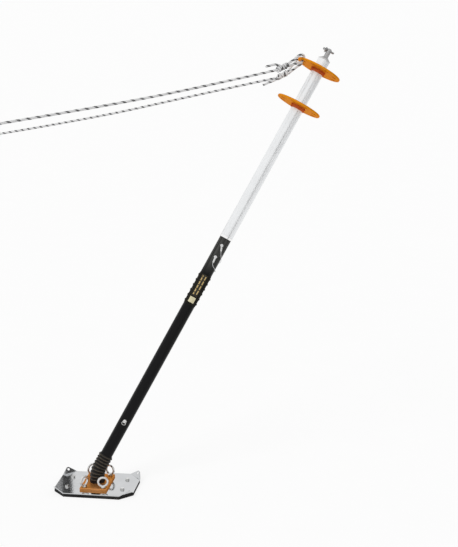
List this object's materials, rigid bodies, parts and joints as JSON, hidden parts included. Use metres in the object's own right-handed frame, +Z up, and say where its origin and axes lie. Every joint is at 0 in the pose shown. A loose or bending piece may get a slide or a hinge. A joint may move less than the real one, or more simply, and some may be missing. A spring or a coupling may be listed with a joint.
{
  "type": "gin pole",
  "caption": "Leaning sectional gin pole on a hinged, swivelling foot plate, with guy discs, ball lock pins and a pinned head fitting.",
  "frame": {"origin": "middle of the rubber sole's underside, on the turret's vertical axis", "axes": "+Z up, +X along the base plate's long side towards the side the mast leans to, +Y away from the front of the base"},
  "size_m": [2.0548, 1.6117, 2.149],
  "materials": {
    "sole_rubber": "moulded matt black rubber",
    "plate_steel": "brushed stainless sheet, near mirror",
    "bright_steel": "polished stainless steel",
    "bronze": "plain bearing bronze",
    "orange_anodised": "satin orange anodised aluminium",
    "black_anodised": "satin black anodised aluminium",
    "satin_aluminium": "satin natural aluminium",
    "dark_coated": "grey cast finish",
    "black_rubber": "ribbed black rubber",
    "label_gold": "dark plate with two rows of plain gold marks",
    "tag_cream": "cream plastic tag",
    "guy_rope": "white rope with dark flecks",
    "lanyard_cord": "thin white cord",
    "plain_bearing": "dark self-lubricating plastic"
  },
  "bodies": {
    "base": {"rubber_sole": "sole_rubber", "sole_inserts": "bright_steel", "base_plate": "plate_steel", "plate_screws": "bright_steel", "plate_washers": "bright_steel", "pivot_block": "orange_anodised", "block_screws": "bright_steel", "eye_bushes": "bronze", "thrust_washer": "plain_bearing"},
    "turret": {"turret": "black_anodised", "turret_clip": "bright_steel", "hinge_pin": "bright_steel", "hinge_clips": "bright_steel"},
    "mast": {"foot_knuckle": "black_anodised", "knuckle_bush": "bronze", "boot": "black_rubber", "lower_tube": "black_anodised", "grip_sleeve": "black_rubber", "label_plate": "label_gold", "tag_plate": "tag_cream", "coupler": "satin_aluminium", "coupler_rivets": "bright_steel", "joint_ring": "bright_steel", "upper_tube": "satin_aluminium", "lower_disc_collar": "orange_anodised", "upper_disc_collar": "orange_anodised", "collar_screws": "bright_steel", "disc_clips": "satin_aluminium", "head_cap": "dark_coated", "lanyard_anchors": "dark_coated", "lanyard_1": "lanyard_cord", "lanyard_2": "lanyard_cord"},
    "lower_disc": {"lower_disc": "orange_anodised", "lower_disc_bush": "plain_bearing"},
    "upper_disc": {"upper_disc": "orange_anodised", "upper_disc_bush": "plain_bearing", "guy_rope_1": "guy_rope", "guy_rope_2": "guy_rope", "guy_knot_1": "guy_rope", "guy_knot_2": "guy_rope", "guy_ends": "guy_rope"},
    "foot_pin": {"foot_pin": "bright_steel"},
    "foot_ring": {"foot_pin_ring": "bright_steel"},
    "head_pin": {"head_pin": "dark_coated"},
    "head_ring": {"head_pin_ring": "bright_steel"},
    "eye_1": {"swivel_eye_1": "bright_steel"},
    "eye_2": {"swivel_eye_2": "bright_steel"},
    "eye_3": {"swivel_eye_3": "bright_steel"},
    "eye_4": {"swivel_eye_4": "bright_steel"},
    "coupler_pin_1": {"coupler_pin_1": "bright_steel", "button_spring_1": "bright_steel", "lock_balls_1": "bright_steel"},
    "button_1": {"pin_button_1": "satin_aluminium"},
    "coupler_pin_2": {"coupler_pin_2": "bright_steel", "button_spring_2": "bright_steel", "lock_balls_2": "bright_steel"},
    "button_2": {"pin_button_2": "satin_aluminium"}
  },
  "joints": [
    {"name": "foot_swivel", "type": "hinge", "parent": "base", "child": "turret", "pos_m": [0, 0, 0.033], "axis": [0, 0, 1], "continuous": true},
    {"name": "foot_lean", "type": "hinge", "parent": "turret", "child": "mast", "pos_m": [0, 0, 0.084], "axis": [-0.5, 0.866, 0], "range_deg": [-31.5, 13], "deforming": ["boot"]},
    {"name": "eye_turn_1", "type": "hinge", "parent": "base", "child": "eye_1", "pos_m": [0.047, 0.08, 0.03], "axis": [0, 0, 1], "continuous": true},
    {"name": "eye_turn_2", "type": "hinge", "parent": "base", "child": "eye_2", "pos_m": [-0.047, 0.08, 0.03], "axis": [0, 0, 1], "continuous": true},
    {"name": "eye_turn_3", "type": "hinge", "parent": "base", "child": "eye_3", "pos_m": [-0.047, -0.08, 0.03], "axis": [0, 0, 1], "continuous": true},
    {"name": "eye_turn_4", "type": "hinge", "parent": "base", "child": "eye_4", "pos_m": [0.047, -0.08, 0.03], "axis": [0, 0, 1], "continuous": true},
    {"name": "lower_disc_turn", "type": "hinge", "parent": "mast", "child": "lower_disc", "pos_m": [0.94391, 0.54497, 1.86261], "axis": [0.4525, 0.2612, 0.8526], "continuous": true},
    {"name": "upper_disc_turn", "type": "hinge", "parent": "mast", "child": "upper_disc", "pos_m": [1.03712, 0.59878, 2.03825], "axis": [0.4525, 0.2612, 0.8526], "continuous": true},
    {"name": "foot_pin_pull", "type": "slide", "parent": "mast", "child": "foot_pin", "axis": [0.1411, -0.9651, 0.2208], "range_m": [0, 0.07]},
    {"name": "foot_ring_swing", "type": "hinge", "parent": "foot_pin", "child": "foot_ring", "pos_m": [0.13712, 0.03542, 0.3405], "axis": [-0.8805, -0.0204, 0.4735], "range_deg": [-16, 95]},
    {"name": "head_pin_pull", "type": "slide", "parent": "mast", "child": "head_pin", "axis": [-0.8805, -0.0204, 0.4735], "range_m": [0, 0.052]},
    {"name": "head_ring_swing", "type": "hinge", "parent": "head_pin", "child": "head_ring", "pos_m": [1.06149, 0.62593, 2.14132], "axis": [-0.1411, 0.9651, -0.2208], "range_deg": [0, 105]},
    {"name": "coupler_pin_pull_1", "type": "slide", "parent": "mast", "child": "coupler_pin_1", "axis": [0.1411, -0.9651, 0.2208], "range_m": [0, 0.07], "deforming": ["lanyard_1"]},
    {"name": "pin_button_press_1", "type": "slide", "parent": "coupler_pin_1", "child": "button_1", "axis": [-0.1411, 0.9651, -0.2208], "range_m": [0, 0.003], "stiffness_N_per_m": 800, "springref_m": -0.004, "deforming": ["button_spring_1"]},
    {"name": "coupler_pin_pull_2", "type": "slide", "parent": "mast", "child": "coupler_pin_2", "axis": [0.1411, -0.9651, 0.2208], "range_m": [0, 0.07], "deforming": ["lanyard_2"]},
    {"name": "pin_button_press_2", "type": "slide", "parent": "coupler_pin_2", "child": "button_2", "axis": [-0.1411, 0.9651, -0.2208], "range_m": [0, 0.003], "stiffness_N_per_m": 800, "springref_m": -0.004, "deforming": ["button_spring_2"]}
  ]
}
